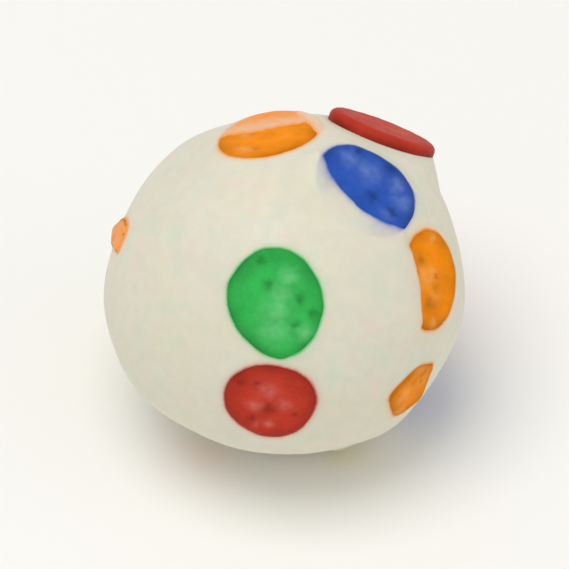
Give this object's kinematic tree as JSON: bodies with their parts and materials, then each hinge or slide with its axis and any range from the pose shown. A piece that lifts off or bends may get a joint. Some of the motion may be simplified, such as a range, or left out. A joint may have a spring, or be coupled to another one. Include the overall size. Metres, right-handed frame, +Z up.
{
  "type": "cake batter candy bite",
  "caption": "Hand-rolled round bite of pale candy with coloured confetti sugar discs and chips pressed into its surface.",
  "frame": {"origin": "centre of the small flat that the bite rests on, straight below the middle of the ball", "axes": "+Z up; -Y to the front, so that the side with most confetti looks forward and 45 degrees up; +X to the right"},
  "size_m": [0.0184, 0.0184, 0.018],
  "materials": {
    "candy": "pale ivory candy, matte to waxy, faintly mottled, slightly see-through at the surface",
    "confetti_orange": "orange sugar, matte and finely grained",
    "confetti_red": "red sugar, matte and finely grained",
    "confetti_green": "green sugar, matte and finely grained",
    "confetti_blue": "blue sugar, satin and finely grained",
    "confetti_yellow": "yellow sugar, matte and finely grained"
  },
  "bodies": {
    "root": {"candy_bite": "candy"}
  },
  "joints": []
}
